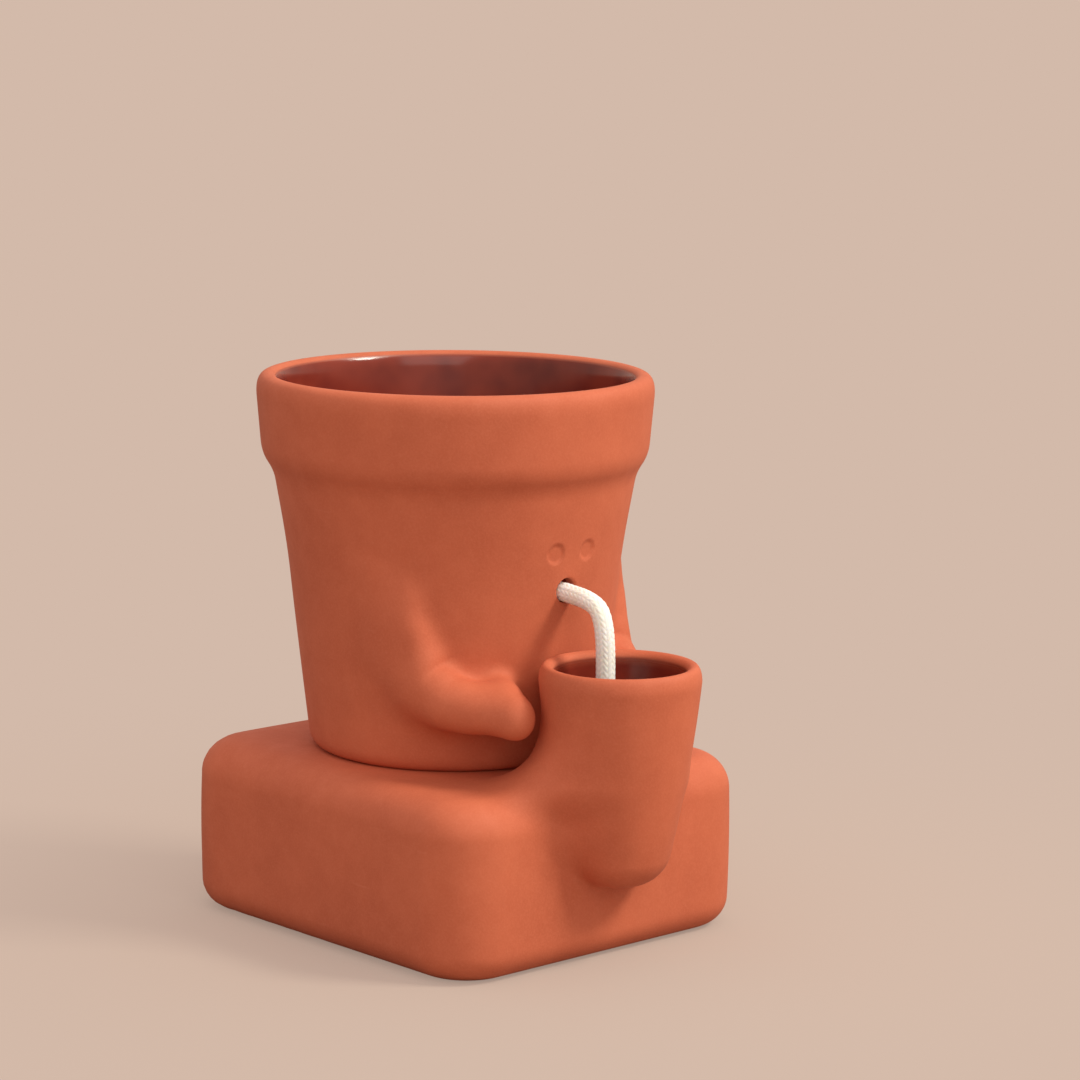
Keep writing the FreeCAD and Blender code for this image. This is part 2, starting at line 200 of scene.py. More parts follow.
def closed_tube(corner):
    """Faces of a tube of rings and the two flat faces that close it."""
    ends = [corner[0, ::-1].tolist(), corner[-1].tolist()]
    return ring_quads(corner).reshape(-1, 4).tolist() + ends


def running_length(line):
    """The length along a line up to each of its points."""
    return np.concatenate([[0], np.cumsum(np.linalg.norm(np.diff(line, axis=0), axis=1))])


def spline_points(route):
    """The points of the NURBS spline that a cord follows, from its route's control points."""
    curve = bpy.data.curves.new("cord_line", "CURVE")
    curve.dimensions = "3D"
    spline = curve.splines.new("NURBS")
    spline.points.add(len(route) - 1)
    spline.points.foreach_set("co", np.column_stack([route, np.ones(len(route))]).ravel())
    spline.use_endpoint_u = True
    spline.order_u = 3
    spline.resolution_u = 24
    holder = bpy.data.objects.new("cord_line", curve)
    mesh = bpy.data.meshes.new_from_object(holder)
    line = np.empty(len(mesh.vertices) * 3)
    mesh.vertices.foreach_get("co", line)
    bpy.data.meshes.remove(mesh)
    bpy.data.objects.remove(holder)
    bpy.data.curves.remove(curve)
    return line.reshape(-1, 3)


def braided_cord(name, line, body):
    """A two-over-two braid carried along a line, as a mesh piece.

    Around the cord and along it run two families of strands, found from turn + run and
    turn - run. Each strand is a round ridge, half a circle high in its own width, raised where
    it passes over the other family and lowered where it passes under, two crossings each. The
    cord's radius at a point is the higher of the two ridges, and its ends are rounded off."""
    along = running_length(line)
    run = np.linspace(0, along[-1], int(along[-1] / CORD_STEP))
    middle = np.column_stack([np.interp(run, along, line[:, axis]) for axis in range(3)])
    ahead = np.gradient(middle, axis=0)
    ahead /= np.linalg.norm(ahead, axis=1, keepdims=True)
    side = np.array([1.0, 0, 0]) - ahead * ahead[:, :1]
    side /= np.linalg.norm(side, axis=1, keepdims=True)
    over = np.cross(ahead, side)

    turn = np.linspace(0, 2 * math.pi, CORD_COLUMNS, endpoint=False)
    round_about = BRAID_STRANDS * turn[None, :] / (2 * math.pi)
    left, right = round_about + run[:, None] / BRAID_PITCH, round_about - run[:, None] / BRAID_PITCH
    weave = WEAVE_LIFT * np.sin((left + right) * math.pi / 2)
    ridge = [np.sqrt(np.clip(1 - (2 * (way % 1) - 1) ** 2, 0, 1)) for way in (left, right)]
    height = np.maximum(ridge[0] + weave, ridge[1] - weave) - (1 + WEAVE_LIFT)
    end_room = np.minimum(along[-1] - run, run)[:, None]
    rounding = np.sqrt(np.clip(end_room / CORD_END, 0.02, 1))
    radius = (CORD_CROWN + BRAID_RELIEF * height) * rounding
    points = (
        middle[:, None]
        + (radius * np.cos(turn))[..., None] * side[:, None]
        + (radius * np.sin(turn))[..., None] * over[:, None]
    )
    faces = closed_tube(np.arange(radius.size).reshape(radius.shape))
    return surface(name, points.reshape(-1, 3), faces, body)


cotton, shader, tree = material(
    "braided_cotton",
    Roughness=0.95,
    Specular_IOR_Level=0.2,
    Subsurface_Weight=0.5,
    Subsurface_Radius=(1.0, 0.9, 0.75),
    Subsurface_Scale=0.002,
)
on_piece = tree.node("TexCoord", out="Object")
yarn = tree.node("TexNoise", Vector=on_piece, Scale=2600.0, Detail=2.0)
stain = tree.node("TexNoise", Vector=on_piece, Scale=120.0, Detail=3.0).ramp(0.35, 0.7)
stain.mix(COTTON_PALE, COTTON_CREAM).feed(shader, "Base Color")
tree.node("Bump", Height=yarn, Strength=0.35, Distance=0.00012).feed(shader, "Normal")

for name, route, lay in (
    ("wick_outside", WICK_OUTSIDE_ROUTE, "hanging"),
    ("wick_inside", WICK_INSIDE_ROUTE, "loose"),
):
    cord_line = spline_points(route)
    cord = braided_cord("braided_" + name, cord_line, "pot")
    cord.data.materials.append(cotton)
    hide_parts(name)

# Pot: a slip-cast terracotta flower pot with a rim band, which stands loose on the block. Its
# clay is bare outside and glazed inside. The wall is a profile turned round the pot's axis,
# as a grid of rows along the profile and columns round it.
POT_FOOT, POT_FLOOR = 57.0, 64.0
# Each corner: radius and height in millimetres, and how far its rounding reaches back and on
POT_CORNERS = [
    (46.9, POT_FOOT, 4.2, 5.6),
    (52.2, 101.0, 24.0, 12.0),
    (54.6, 123.5, 10.0, 12.0),
    (58.9, 147.6, 3.2, 3.2),
    (62.75, 153.6, 3.2, 3.6),
    (64.95, 179.2, 7.4, 4.4),
    (57.6, 179.2, 2.9, 5.0),
    (42.0, POT_FLOOR, 6.5, 6.5),
]
# The profile's first and last stretch, which are sure to be underside and floor
FLAT_STRETCH = 30.0
HOLE_HEIGHT, HOLE_RADIUS, HOLE_EDGE = 115.0, 4.0, 0.7

# Row spacings in millimetres, and the heights and the radius at which they change
ARM_ROWS, WALL_ROWS, FOOT_ROWS, BAND_ROWS = 0.58, 1.5, 0.8, 0.75
LIP_ROWS, INSIDE_ROWS, FLOOR_ROWS = 0.6, 2.5, 4.0
FOOT_TOP, ARM_LOW, ARM_HIGH, BAND_FOOT, LIP_FOOT = 62.0, 64.0, 134.0, 142.0, 171.0
FLOOR_RADIUS = 40.0
# How far from the mouth hole's height the rows inside stay fine, and over what height a fine
# zone fades out
HOLE_ZONE, ROW_BLEND = 9, 3
# Column spacings in millimetres on the middle radius, how far round their zones reach, and
# the turn over which those fade out
FACE_COLUMNS, ARM_COLUMNS, BACK_COLUMNS, MIDDLE_RADIUS = 0.52, 0.68, 2.4, 52
FACE_TURN, ARM_TURN = math.radians(14), math.radians(80)
FACE_BLEND, ARM_BLEND = 0.06, 0.1


def rounded_line(corners, start, end):
    """A line from start to end through corners, each replaced by the parabola that touches both
    of its sides at the corner's two reaches."""
    places = np.array([start, *[corner[:2] for corner in corners], end])
    into = places[1:-1] - places[:-2]
    out = places[2:] - places[1:-1]
    reach_back, reach_on = np.array(corners)[:, 2:].T[..., None]
    first = places[1:-1] - into / np.linalg.norm(into, axis=1, keepdims=True) * reach_back
    last = places[1:-1] + out / np.linalg.norm(out, axis=1, keepdims=True) * reach_on
    share = np.linspace(0, 1, 33)[:, None, None]
    bends = (1 - share) ** 2 * first + 2 * share * (1 - share) * places[1:-1] + share**2 * last
    return np.vstack([[start], bends.transpose(1, 0, 2).reshape(-1, 2), [end]])


def smooth_step(value, low, high):
    """0 below low and 1 above high. Between them 3 s^2 - 2 s^3, where s is the share of the way."""
    share = np.clip((value - low) / (high - low), 0, 1)
    return share * share * (3 - 2 * share)


def graded(low, high, gap):
    """Places from low to high whose spacing follows gap, a function of the place: the places are
    even in the running sum of 1 / gap."""
    fine = np.linspace(low, high, 4001)
    middle = (fine[1:] + fine[:-1]) / 2
    count = np.concatenate([[0], np.cumsum(np.diff(fine) / gap(middle))])
    return np.interp(np.linspace(0, count[-1], round(count[-1]) + 1), count, fine)


profile = rounded_line(POT_CORNERS, (0.0, POT_FOOT), (0.0, POT_FLOOR))
profile_at = running_length(profile)
crest_at = profile_at[np.argmax(profile[:, 1])]


def outer_radius(height):
    """The wall's radius outside at a height, read off the profile before its crest."""
    wall = (profile_at > FLAT_STRETCH) & (profile_at < crest_at)
    return np.interp(height, profile[wall, 1], profile[wall, 0])


def inner_radius(height):
    """The wall's radius inside at a height, read off the profile after its crest."""
    wall = (profile_at > crest_at) & (profile_at < profile_at[-1] - FLAT_STRETCH)
    return np.interp(height, profile[wall, 1][::-1], profile[wall, 0][::-1])


def row_gap(place):
    """Row spacing along the profile: fine beside the arms, the face and, inside, the mouth hole,
    and elsewhere that of its zone."""
    radius = np.interp(place, profile_at, profile[:, 0])
    height = np.interp(place, profile_at, profile[:, 1])
    outside = place < crest_at
    above_foot = smooth_step(height, ARM_LOW - ROW_BLEND, ARM_LOW)
    beside_arm = above_foot * smooth_step(-height, -ARM_HIGH - ROW_BLEND, -ARM_HIGH)
    from_hole = abs(height - HOLE_HEIGHT)
    beside_hole = smooth_step(-from_hole, -HOLE_ZONE - ROW_BLEND, -HOLE_ZONE)
    fine = np.where(outside, beside_arm, beside_hole)
    wall = np.where(height > BAND_FOOT, BAND_ROWS, np.where(height < FOOT_TOP, FOOT_ROWS, WALL_ROWS))
    inside = np.where(height > LIP_FOOT, LIP_ROWS, INSIDE_ROWS)
    coarse = np.where(radius < FLOOR_RADIUS, FLOOR_ROWS, np.where(outside, wall, inside))
    return 1 / (fine / ARM_ROWS + (1 - fine) / coarse)


def column_gap(turn):
    """Column spacing round the pot: fine over the face, less so over the arms, wide behind."""
    face = smooth_step(-abs(turn), -FACE_TURN - FACE_BLEND, -FACE_TURN)
    arm = smooth_step(-abs(turn), -ARM_TURN - ARM_BLEND, -ARM_TURN)
    beyond = arm / ARM_COLUMNS + (1 - arm) / BACK_COLUMNS
    return 1 / (face / FACE_COLUMNS + (1 - face) * beyond) / MIDDLE_RADIUS


rows = graded(0, profile_at[-1], row_gap)[1:-1]
half = graded(0, math.pi, column_gap)
turn = np.concatenate([-half[:0:-1], half[:-1]])
radius = np.interp(rows, profile_at, profile[:, 0])[:, None]
height = np.interp(rows, profile_at, profile[:, 1])[:, None] + 0 * turn
pot = np.stack([radius * np.sin(turn), -radius * np.cos(turn), height], axis=-1)

# Arms: they belong to the same casting. Each grows out of the wall below the shoulder, with a
# crease against the belly, and bends at the elbow to a tapered hand beside the cup. A web of
# clay joins hand and belly. One arm is drawn, and the other is its mirror image.
# Each section: its middle, half its length and half its thickness, how far it runs onward and
# up, and the way that its length points, towards the crease
ARM = np.array(
    [
        (-45.6, -20.2, 121.0, 5.5, 2.4, 0.0, -1.0, 0.05, -1.0, 0.0),
        (-44.9, -21.9, 114.0, 8.0, 3.8, 0.0, -1.0, 0.05, -1.0, 0.0),
        (-44.1, -24.0, 105.0, 9.5, 5.0, 0.0, -1.0, 0.05, -1.0, 0.0),
        (-42.4, -26.2, 96.0, 10.2, 6.4, 0.2, -1.0, 0.1, -0.95, 0.3),
        (-40.4, -31.4, 86.4, 9.0, 7.4, 0.7, -0.7, 0.15, -0.65, 0.72),
        (-37.0, -40.4, 81.6, 8.8, 7.8, 1.0, -0.1, 0.3, 0.05, 0.95),
        (-34.0, -48.8, 80.3, 8.0, 7.2, 1.0, 0.0, 0.3, 0.1, 0.95),
        (-31.9, -55.8, 79.6, 6.5, 5.9, 1.0, 0.0, 0.3, 0.1, 0.95),
        (-30.5, -61.2, 78.9, 5.2, 4.6, 1.0, 0.0, 0.3, 0.1, 0.95),
        (-29.8, -65.2, 78.5, 4.3, 3.6, 1.0, 0.0, 0.2, 0.0, 1.0),
    ]
)
WEB = np.array(
    [
        (-18.8, -42.0, 84.6, 4.0, 4.0, 1.0, 0.0, 0.0, 0.0, 1.0),
        (-22.4, -48.6, 84.8, 4.4, 4.4, 1.0, 0.0, 0.0, 0.0, 1.0),
        (-25.2, -54.0, 83.8, 4.5, 4.5, 1.0, 0.0, 0.0, 0.0, 1.0),
        (-27.8, -59.5, 81.5, 4.2, 4.0, 1.0, 0.0, 0.0, 0.0, 1.0),
        (-29.4, -63.5, 79.8, 3.8, 3.2, 1.0, 0.0, 0.0, 0.0, 1.0),
    ]
)
ONWARD, UP = np.array([[0.355, -0.935, 0.0], [0.0, 0.0, 1.0]])
# How far a limb is drawn back into the pot at first, how much further at the hand, and how far
# forward of the pot's axis that rise starts and ends
SHOULDER_TRAVEL, HAND_TRAVEL, TRAVEL_RISE = 12, 26, (20, 60)
# Places along a limb for each of its sections, and the square millimetres of distance over
# which a place's weight at a point falls off by e
SECTION_STEPS, SECTION_BLUR = 6, 18.0
# Width of the fillet between web and arm, and between arm and wall: behind the arm, how much
# less it is at the crease, and where between the two sides that loss starts and ends
WEB_FILLET, ARM_FILLET, CREASE_LOSS, CREASE_SIDE = 9.0, 9.5, 5, (-0.6, 1.0)
# The wall leans, so a level distance to it counts for a little less. Clay this far off the
# wall starts to travel with the arm, and travels fully
WALL_LEAN_SHARE, CARRIED_CLAY = 0.99, (0.5, 4)


def limb_distance(points, limb, sunk):
    """Distance to a limb, about, and how far a point is to its crease side from -1 to 1, and how
    far the limb travels there while it rises.

    The place along the limb is the mean of its sections' numbers, weighted by how near each is.
    There the section is an ellipse, closed off lengthways by the same curve, and the distance is
    its reach less 1, times its smaller half. Sunk is the share of its travel that still lies
    before the limb."""
    number = np.linspace(0, len(limb) - 1, SECTION_STEPS * len(limb))
    dense = np.column_stack([np.interp(number, np.arange(len(limb)), column) for column in limb.T])
    travel = SHOULDER_TRAVEL + HAND_TRAVEL * smooth_step(-dense[:, 1], *TRAVEL_RISE)
    dense[:, 1] += sunk * travel
    away = ((points[:, None] - dense[None, :, :3]) ** 2).sum(-1)
    weight = np.exp(-(away - away.min(1, keepdims=True)) / SECTION_BLUR)
    at = (weight * number).sum(1) / weight.sum(1)
    section = np.column_stack([np.interp(at, number, column) for column in dense.T])
    run = section[:, 5:6] * ONWARD + section[:, 6:7] * UP
    crease = section[:, 7:10]
    run /= np.linalg.norm(run, axis=1, keepdims=True)
    crease = crease - (crease * run).sum(1, keepdims=True) * run
    crease /= np.linalg.norm(crease, axis=1, keepdims=True)
    offset = points - section[:, :3]
    long, thick = section[:, 3], section[:, 4]
    to_crease = (offset * crease).sum(1)
    to_side = (offset * np.cross(run, crease)).sum(1)
    lengthways = (offset * run).sum(1)
    reach = np.sqrt((to_crease / long) ** 2 + (to_side / thick) ** 2 + (lengthways / thick) ** 2)
    return (reach - 1) * np.minimum(long, thick), to_crease / long, np.interp(at, number, travel)


def melted(first, second, fillet):
    """The nearer of two distances, with their meeting filled by a curve as wide as fillet."""
    share = np.clip(1 - abs(first - second) / fillet, 0, 1)
    return np.minimum(first, second) - share * share * fillet / 4


def clay_distance(points, sunk):
    """Distance to the wall and one arm together, melted into each other, and how far the clay
    there travels with the arm. The fillet is wide behind and under the arm, where it fades into
    the wall, and narrow at its crease."""
    wall = np.hypot(points[:, 0], points[:, 1]) - outer_radius(points[:, 2])
    wall = wall * WALL_LEAN_SHARE
    arm, side, travel = limb_distance(points, ARM, sunk)
    web, _, _ = limb_distance(points, WEB, sunk)
    fillet = ARM_FILLET - CREASE_LOSS * smooth_step(side, *CREASE_SIDE)
    carried = smooth_step(wall, *CARRIED_CLAY) * travel
    return melted(wall, melted(arm, web, WEB_FILLET), fillet), carried


# The arm rises in this many steps, then settles in a few more, the last of them unrelaxed
RISING, SETTLING, UNRELAXED = 46, 12, 4
# Where a distance's slope is taken, the least square of it that is divided by, the longest
# move in a step, and how often and how far a point is then pulled to its neighbours' mean
PROBE, LEAST_STEEP, LONGEST_MOVE, RELAXATIONS, PULL = 0.05, 0.05, 1.5, 5, 0.7


def drawn_over_arm(patch, free):
    """The patch of the wall's grid once an arm has risen out of it, where free is above 0.

    At each step every point moves along the slope of the clay's distance to where that is 0,
    then towards the mean of its four neighbours, but only along the surface, and on with the
    clay that it lies on."""
    for step in range(RISING + SETTLING):
        sunk = max(0.0, 1 - (step + 1) / RISING)
        flat = patch.reshape(-1, 3)
        here, carried = clay_distance(flat, sunk)
        beside = [clay_distance(flat + PROBE * way, sunk)[0] for way in np.eye(3)]
        slope = np.stack([there - here for there in beside], axis=-1) / PROBE
        steep = (slope**2).sum(-1, keepdims=True)
        move = here[:, None] * slope / np.maximum(steep, LEAST_STEEP)
        move /= np.maximum(1, np.linalg.norm(move, axis=1, keepdims=True) / LONGEST_MOVE)
        patch = (flat - move * (free.reshape(-1, 1) > 0)).reshape(patch.shape)
        normal = (slope / np.sqrt(np.maximum(steep, 1e-9))).reshape(patch.shape)
        if step >= RISING + SETTLING - UNRELAXED:
            continue
        for _ in range(RELAXATIONS):
            mean = patch.copy()
            in_column = patch[2:, 1:-1] + patch[:-2, 1:-1]
            mean[1:-1, 1:-1] = (in_column + patch[1:-1, 2:] + patch[1:-1, :-2]) / 4
            pull = mean - patch
            pull -= (pull * normal).sum(-1, keepdims=True) * normal
            patch = patch + PULL * free[..., None] * pull
        next_sunk = max(0.0, 1 - (step + 2) / RISING)
        patch[..., 1] -= (sunk - next_sunk) * carried.reshape(free.shape) * free
    return patch


# The patch: its lowest height and its turns to the front and back. Its edges are held, and it
# is let go between these heights, and turns, from each edge inwards
PATCH_FOOT, PATCH_FRONT, PATCH_BACK = 60, FACE_TURN * 0.6, 1.62
FREE_FOOT, FREE_TOP = (60.5, 66), (-141, -134)
FREE_FRONT, FREE_BACK = (FACE_TURN * 0.62, 0.27), (-1.6, -1.45)
wall_height = height[:, 0]
on_arm = (wall_height > PATCH_FOOT) & (wall_height < BAND_FOOT)
wall_rows = np.flatnonzero((rows < crest_at) & on_arm)
arm_columns = np.flatnonzero((turn < -PATCH_FRONT) & (turn > -PATCH_BACK))
patch_height, patch_turn = wall_height[wall_rows], -turn[arm_columns]
free_rows = smooth_step(patch_height, *FREE_FOOT) * smooth_step(-patch_height, *FREE_TOP)
free_columns = smooth_step(patch_turn, *FREE_FRONT) * smooth_step(-patch_turn, *FREE_BACK)
patch = pot[np.ix_(wall_rows, arm_columns)]
patch = drawn_over_arm(patch, free_rows[:, None] * free_columns)
mirror_columns = (len(turn) - arm_columns) % len(turn)
pot[np.ix_(wall_rows, arm_columns)] = patch
pot[np.ix_(wall_rows, mirror_columns)] = patch * np.array([-1, 1, 1])

# Mouth hole: a round hole through the wall for the wick, its two edges rounded off. A square
# block of cells leaves the grid outside and inside, and a tube joins the two openings.
# Half the block's side, how many halves out the grid is at rest again, and the wall's radius
# there. Then the rings on each of the tube's bends, and between them
BLOCK_HALF, BLOCK_REST = 4.9, 2.2
HOLE_WALL_RADIUS = 53
BEND_RINGS, BETWEEN_RINGS = 5, 6


def hole_mouth(wall_of, block_rows, block_columns):
    """Turns a block of grid cells round: its square edge becomes the hole's circle, and the
    cells around it follow, less and less, out to about twice the hole's width."""
    rim = HOLE_RADIUS + HOLE_EDGE
    row_middle, column_middle = block_rows.mean(), block_columns.mean()
    row_half, column_half = np.ptp(block_rows) / 2, np.ptp(block_columns) / 2
    upward = np.sign(pot[block_rows[-1], 0, 2] - pot[block_rows[0], 0, 2])
    row_reach, column_reach = BLOCK_REST * row_half, BLOCK_REST * column_half
    near_rows = np.arange(int(row_middle - row_reach), int(row_middle + row_reach) + 2)
    near_columns = np.arange(int(column_middle - column_reach), int(column_middle + column_reach) + 2)
    v = upward * (near_rows[:, None] - row_middle) / row_half + 0 * near_columns
    u = (near_columns - column_middle) / column_half + 0 * v
    size = np.maximum(np.maximum(abs(u), abs(v)), 1e-6)
    flat_u, flat_v = u / size, v / size
    round_x = rim * size * flat_u * np.sqrt(1 - flat_v**2 / 2)
    round_z = rim * size * flat_v * np.sqrt(1 - flat_u**2 / 2) + HOLE_HEIGHT
    near = pot[np.ix_(near_rows, near_columns)]
    keep = smooth_step(size, 1.0, BLOCK_REST)
    x = round_x * (1 - keep) + near[..., 0] * keep
    z = round_z * (1 - keep) + near[..., 2] * keep
    on_wall = np.stack([x, -np.sqrt(wall_of(z) ** 2 - x**2), z], axis=-1)
    pot[np.ix_(near_rows, near_columns)] = on_wall


def edge_loop(block_rows, block_columns):
    """Grid numbers round a block's edge, counterclockwise seen from outside."""
    low, high = block_rows[0], block_rows[-1]
    if pot[low, 0, 2] > pot[high, 0, 2]:
        low, high = high, low
    step = 1 if high > low else -1
    up, right = np.arange(low, high, step), block_columns[:-1]
    last_column, first_column = block_columns[-1], block_columns[0]
    loop_rows = [np.full(len(right), low), up, np.full(len(right), high), up[::-1] + step]
    loop_columns = [right, np.full(len(up), last_column), right[::-1] + 1, np.full(len(up), first_column)]
    return np.concatenate(loop_rows) * len(turn) + np.concatenate(loop_columns)


block_columns = np.flatnonzero(abs(turn) * HOLE_WALL_RADIUS < BLOCK_HALF)
outer_rows = np.flatnonzero((rows < crest_at) & (abs(wall_height - HOLE_HEIGHT) < BLOCK_HALF))
inner_start = np.flatnonzero((rows > crest_at) & (wall_height < HOLE_HEIGHT + BLOCK_HALF))[0]
inner_rows = np.arange(inner_start, inner_start + len(outer_rows))
hole_mouth(outer_radius, outer_rows, block_columns)
hole_mouth(inner_radius, inner_rows, block_columns)
outer_loop = edge_loop(outer_rows, block_columns)
inner_loop = edge_loop(inner_rows, block_columns)

# Eyes: two shallow discs pressed into the soft clay over the mouth, each with a rounded edge
EYE_TURNS, EYE_HEIGHT, EYE_RADIUS, EYE_DEPTH = np.radians([-6.2, 7.9]), 127.4, 3.1, 0.6
EYE_EDGE_OUTSIDE, EYE_EDGE_INSIDE = 0.3, 0.35
pot_turn, pot_radius = np.arctan2(pot[..., 0], -pot[..., 1]), np.hypot(pot[..., 0], pot[..., 1])
eye_across = abs(pot_turn[..., None] - EYE_TURNS).min(-1) * pot_radius
eye_gap = np.hypot(eye_across, pot[..., 2] - EYE_HEIGHT)
eye_edge = (-EYE_RADIUS - EYE_EDGE_OUTSIDE, -EYE_RADIUS + EYE_EDGE_INSIDE)
pressed = EYE_DEPTH * smooth_step(-eye_gap, *eye_edge)
pressed = pressed * (rows < crest_at)[:, None]
pot[..., :2] *= 1 - (pressed / np.maximum(pot_radius, 1))[..., None]

# The tube through the wall: the edge outside bends in, rings cross the wall, and the edge
# inside bends out again
grid_points = pot.reshape(-1, 3)
rim_x, rim_z = grid_points[outer_loop, 0], grid_points[outer_loop, 2] - HOLE_HEIGHT
bend = np.linspace(0, math.pi / 2, BEND_RINGS + 1)[1:]
ring_scale = (HOLE_RADIUS + HOLE_EDGE * (1 - np.sin(bend))) / (HOLE_RADIUS + HOLE_EDGE)
ring_depth = HOLE_EDGE * (1 - np.cos(bend))
outer_rings, inner_rings = [], []
for scale, depth in zip(ring_scale, ring_depth):
    x, z = rim_x * scale, rim_z * scale + HOLE_HEIGHT
    outer_rings.append(np.column_stack([x, -np.sqrt(outer_radius(z) ** 2 - x**2) + depth, z]))
    inner_rings.insert(0, np.column_stack([x, -np.sqrt(inner_radius(z) ** 2 - x**2) - depth, z]))
share = np.linspace(0, 1, BETWEEN_RINGS + 2)[1:-1, None, None]
between_rings = list(outer_rings[-1] * (1 - share) + inner_rings[0] * share)
tube = np.vstack(outer_rings + between_rings + inner_rings)
tube_number = len(grid_points) + np.arange(len(tube)).reshape(-1, len(outer_loop))
tube_quads = ring_quads(np.vstack([outer_loop, tube_number, inner_loop]))

# The cells in the two blocks and the points that only they used are left out
grid_number = np.arange(len(grid_points)).reshape(pot.shape[:2])
quads = ring_quads(grid_number)
kept = np.ones(quads.shape[:2], bool)
for block_rows in (outer_rows, inner_rows):
    kept[block_rows[0] : block_rows[-1], block_columns[0] : block_columns[-1]] = False
quads = np.vstack([quads[kept], tube_quads.reshape(-1, 4)])
points = np.vstack([grid_points, tube])
in_use = np.zeros(len(points), bool)
in_use[quads] = True
renumbered = np.cumsum(in_use) - 1
ends = [renumbered[grid_number[0, ::-1]].tolist(), renumbered[grid_number[-1]].tolist()]
faces = renumbered[quads].tolist() + ends
pot_piece = surface("clay_pot", MM * points[in_use], faces, "pot")
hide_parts("pot")


def mark_glazed(piece, share):
    """Notes at each point how far the clay is glazed there, from 0 to 1."""
    mark = piece.data.attributes.new("glazed", "FLOAT", "POINT")
    mark.data.foreach_set("value", share.astype(np.float32))


# How far past the lip's crest the glaze starts and is full, and the bare share of the tube
GLAZE_STARTS, GLAZE_FULL, BARE_TUBE_SHARE = 2.2, 3.4, 0.75
glazed_rows = smooth_step(rows, crest_at + GLAZE_STARTS, crest_at + GLAZE_FULL)[:, None] + 0 * turn
glazed_rings = np.linspace(0, 1, len(tube_number)) > BARE_TUBE_SHARE
glazed_tube = np.repeat(glazed_rings, len(outer_loop))
mark_glazed(pot_piece, np.concatenate([glazed_rows.ravel(), glazed_tube])[in_use])

# Fired clay: bare and matt outside, uneven in tone, with a fine grain and a few pale scuffs.
# Inside it has a dark red-brown glaze, shiny and smooth, where the points are marked glazed.
CLAY_DARK, CLAY_LIGHT = (0.51, 0.108, 0.044, 1), (0.61, 0.140, 0.060, 1)
GRAIN_PALE, SCUFF_PALE = (0.66, 0.19, 0.095, 1), (0.70, 0.25, 0.14, 1)
GLAZE_DARK, GLAZE_LIGHT = (0.150, 0.016, 0.010, 1), (0.235, 0.030, 0.016, 1)

clay, shader, tree = material("terracotta")
on_piece = tree.node("TexCoord", out="Object")
cloud = tree.node("TexNoise", Vector=on_piece, Scale=22.0, Detail=3.0, Roughness=0.55).ramp(0.3, 0.72)
blotch = tree.node("TexNoise", Vector=on_piece, Scale=110.0, Detail=4.0, Roughness=0.6).ramp(0.25, 0.8)
grain = tree.node("TexNoise", Vector=on_piece, Scale=1500.0, Detail=2.0)
slant = tree.node("Mapping", Vector=on_piece, Rotation=(0.3, 0.5, 0.7), Scale=(900.0, 60.0, 900.0))
scuff = tree.node("TexNoise", Vector=slant, Scale=1.0, Detail=2.0).ramp(0.66, 0.8)
pool = tree.node("TexNoise", Vector=on_piece, Scale=60.0, Detail=2.0).ramp(0.3, 0.7)
glazed = tree.node("Attribute", {"attribute_name": "glazed"}, out="Fac")
fired = (cloud * 0.6 + blotch * 0.4).mix(CLAY_DARK, CLAY_LIGHT)
fired = (grain.ramp(0.35, 0.75) * 0.22).mix(fired, GRAIN_PALE)
fired = (scuff * 0.14).mix(fired, SCUFF_PALE)
glazed.mix(fired, pool.mix(GLAZE_DARK, GLAZE_LIGHT)).feed(shader, "Base Color")
((0.80 - blotch * 0.10) * (1 - glazed) + glazed * 0.16).feed(shader, "Roughness")
relief = (grain * 0.6 + blotch * 0.5) * (1 - glazed)
tree.node("Bump", Height=relief, Strength=0.25, Distance=0.00025).feed(shader, "Normal")
pot_piece.data.materials.append(clay)

# Base: a hollow slip-cast block of the same clay with rounded edges, whose front swells into a
# cup. Block and cup are one casting with one cavity, which is the water tank. The clay is bare
# outside and glazed inside from just under the cup's lip.
BLOCK_HALF_WIDTH, BLOCK_FRONT, BLOCK_BACK, BLOCK_HEIGHT = 63.4, -75.9, 65.7, 57.0
BLOCK_CORNER, BLOCK_TOP_EDGE, BLOCK_FOOT_EDGE, BARREL = 20.0, 11.5, 9.0, 0.5
CUP_Y, CUP_RIM, CUP_BOTTOM, CUP_BOTTOM_ROUNDING = -78.6, 95.2, 24.8, 9.5
LIP_OUTSIDE_FOOT, LIP_INSIDE_FOOT, LIP_CREST_SHIFT = 90.2, 92.8, 0.25
TANK_WALL = 5.0
# Width of the fillet between cup and block: under the cup, how much more it is up the block's
# front, how much more again on the block's top, and between which heights each gain comes. On
# the side towards the pot the second gain is lost, between these cosines of the turn
SEAM_FILLET, FRONT_GAIN, TOP_GAIN = 3.0, 11.0, 14.0
FRONT_RISE, TOP_RISE, POT_SIDE = (26, 44), (46, 60), (0.7, 0.97)
# The cup's side leans, so a level distance to it counts for a little less. At the cup's bottom
# the cavity's rounding is less than the outside's by this share of the wall
CUP_LEAN_SHARE, THIN_ROUNDING_SHARE = 0.985, 0.5
# A point inside the block's and cup's form, and one inside the cavity's, that sees all of it
OUTER_HEART, INNER_HEART = np.array([[0.0, -64.0, 34.0], [0.0, -69.2, 34.0]])
# Points in each ring, and the height down to which the rings lie level round the cup
CUP_COLUMNS, CUP_RINGS_LOW = 320, 66.0
# How even the headings become, and by what share of the way down
EVENED, EVENED_BY_SHARE = 0.55, 0.45
# How far along a ray the surface is looked for, and how often that stretch is halved
FARTHEST, HALVINGS = 220.0, 34
# Rings over each half of the cup's lip
LIP_RINGS = 9


